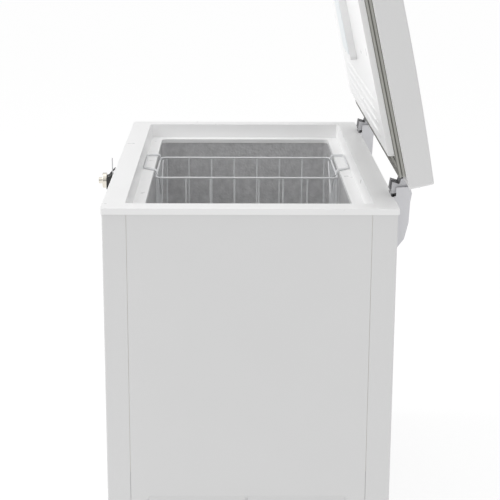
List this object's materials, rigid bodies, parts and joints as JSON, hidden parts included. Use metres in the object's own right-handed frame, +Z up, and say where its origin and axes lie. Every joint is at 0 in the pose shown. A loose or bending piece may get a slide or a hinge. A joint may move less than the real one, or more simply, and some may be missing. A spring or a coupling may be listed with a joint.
{
  "type": "chest freezer",
  "caption": "Free-standing chest freezer with an open spring-hinged insulated lid, stepped metal-lined well, hanging wire basket, front cam lock and louvred machine bay.",
  "frame": {"origin": "on the floor under the middle of the cabinet footprint", "axes": "+X to the machine-bay end, -Y to the front with the lock, +Y to the hinges, +Z up"},
  "size_m": [0.989, 0.6747, 1.3939],
  "materials": {
    "panel_white": "satin white powder coat",
    "collar_plastic": "white moulded plastic",
    "hinge_cover_plastic": "light grey-white moulded plastic",
    "liner_aluminium": "stucco-embossed aluminium sheet",
    "foam": "rigid polyurethane foam, cream",
    "zinc_steel": "zinc-plated steel",
    "dark_steel": "dark phosphated steel",
    "copper": "bare copper tube",
    "compressor_black": "black enamel",
    "black_rubber": "black moulded rubber",
    "gasket_rubber": "grey flexible PVC",
    "black_plastic": "black moulded plastic",
    "lock_chrome": "polished chrome",
    "grey_plastic": "mid-grey moulded plastic",
    "indicator_green": "clear coloured plastic",
    "lamp_diffuser": "milky diffuser plastic",
    "basket_wire": "white dip-coated steel wire"
  },
  "bodies": {
    "cabinet": {"back_panel": "panel_white", "base_pan": "zinc_steel", "bay_shield": "zinc_steel", "capillary_tube": "copper", "compressor_bolts": "zinc_steel", "compressor_grommets": "black_rubber", "compressor_plate": "zinc_steel", "compressor_shell": "compressor_black", "condenser_coil": "copper", "condenser_tails": "copper", "control_bezel": "grey_plastic", "drain_tube": "grey_plastic", "evaporator_coil": "copper", "feet": "black_rubber", "filter_drier": "copper", "foam_insulation": "foam", "front_panel": "panel_white", "hinge_brackets": "zinc_steel", "hinge_covers": "hinge_cover_plastic", "hinge_pins": "zinc_steel", "hinge_screws": "zinc_steel", "hinge_spring_left": "dark_steel", "hinge_spring_right": "dark_steel", "indicator_lenses": "indicator_green", "inner_liner": "liner_aluminium", "left_end_panel": "panel_white", "lock_barrel": "lock_chrome", "lock_body": "black_plastic", "lock_hood": "dark_steel", "mains_inlet_gland": "black_plastic", "relay_cover": "black_plastic", "right_end_panel": "panel_white", "suction_tube": "copper", "thermostat_body": "grey_plastic", "top_collar": "collar_plastic"},
    "lid": {"lid_outer_shell": "panel_white", "lid_inner_liner": "collar_plastic", "lid_foam": "foam", "lid_gasket": "gasket_rubber", "lamp_housing": "collar_plastic", "lamp_lens": "lamp_diffuser", "hinge_arms": "dark_steel", "hinge_caps": "collar_plastic", "lid_keeper": "zinc_steel", "lid_screws": "zinc_steel"},
    "plunger_left": {"hinge_plunger_left": "black_plastic"},
    "plunger_right": {"hinge_plunger_right": "black_plastic"},
    "basket": {"basket_rim": "basket_wire", "basket_left_grid": "basket_wire", "basket_right_grid": "basket_wire", "basket_front_grid": "basket_wire", "basket_back_grid": "basket_wire", "basket_floor_grid": "basket_wire"},
    "front_handle": {"basket_handle_front": "basket_wire"},
    "back_handle": {"basket_handle_back": "basket_wire"},
    "lock": {"lock_plug": "lock_chrome", "lock_cam": "zinc_steel"},
    "knob": {"thermostat_knob": "grey_plastic"},
    "drain_plug": {"inner_drain_plug": "black_rubber"},
    "drain_cap": {"outer_drain_cap": "grey_plastic"}
  },
  "joints": [
    {"name": "lid_hinge", "type": "hinge", "parent": "cabinet", "child": "lid", "pos_m": [0, 0.306, 0.805], "axis": [1, 0, 0], "range_deg": [0, 77.4], "stiffness_Nm_per_rad": 5, "springref_deg": -57.3},
    {"name": "plunger_left_slide", "type": "slide", "parent": "cabinet", "child": "plunger_left", "axis": [0, 0, -1], "range_m": [0, 0.01406], "deforming": ["hinge_spring_left"]},
    {"name": "plunger_right_slide", "type": "slide", "parent": "cabinet", "child": "plunger_right", "axis": [0, 0, -1], "range_m": [0, 0.01406], "deforming": ["hinge_spring_right"]},
    {"name": "basket_slide", "type": "slide", "parent": "cabinet", "child": "basket", "axis": [1, 0, 0], "range_m": [-0.185, 0.395]},
    {"name": "front_handle_fold", "type": "hinge", "parent": "basket", "child": "front_handle", "pos_m": [-0.107, -0.202, 0.748], "axis": [-1, 0, 0], "range_deg": [0, 100]},
    {"name": "back_handle_fold", "type": "hinge", "parent": "basket", "child": "back_handle", "pos_m": [-0.107, 0.202, 0.748], "axis": [1, 0, 0], "range_deg": [0, 100]},
    {"name": "lock_turn", "type": "hinge", "parent": "cabinet", "child": "lock", "pos_m": [0, -0.311, 0.74], "axis": [0, 1, 0], "range_deg": [0, 90]},
    {"name": "thermostat_turn", "type": "hinge", "parent": "cabinet", "child": "knob", "pos_m": [0.348, -0.283, 0.1], "axis": [0, 1, 0], "range_deg": [0, 300]},
    {"name": "drain_plug_lift", "type": "slide", "parent": "cabinet", "child": "drain_plug", "axis": [0, 0, 1], "range_m": [0, 0.05]},
    {"name": "drain_cap_pull", "type": "slide", "parent": "cabinet", "child": "drain_cap", "axis": [0, -1, 0], "range_m": [0, 0.04]}
  ],
  "couplings": [
    {"joint": "plunger_left_slide", "follows": "lid_hinge", "m_per_rad": 0.0104},
    {"joint": "plunger_right_slide", "follows": "lid_hinge", "m_per_rad": 0.0104}
  ]
}
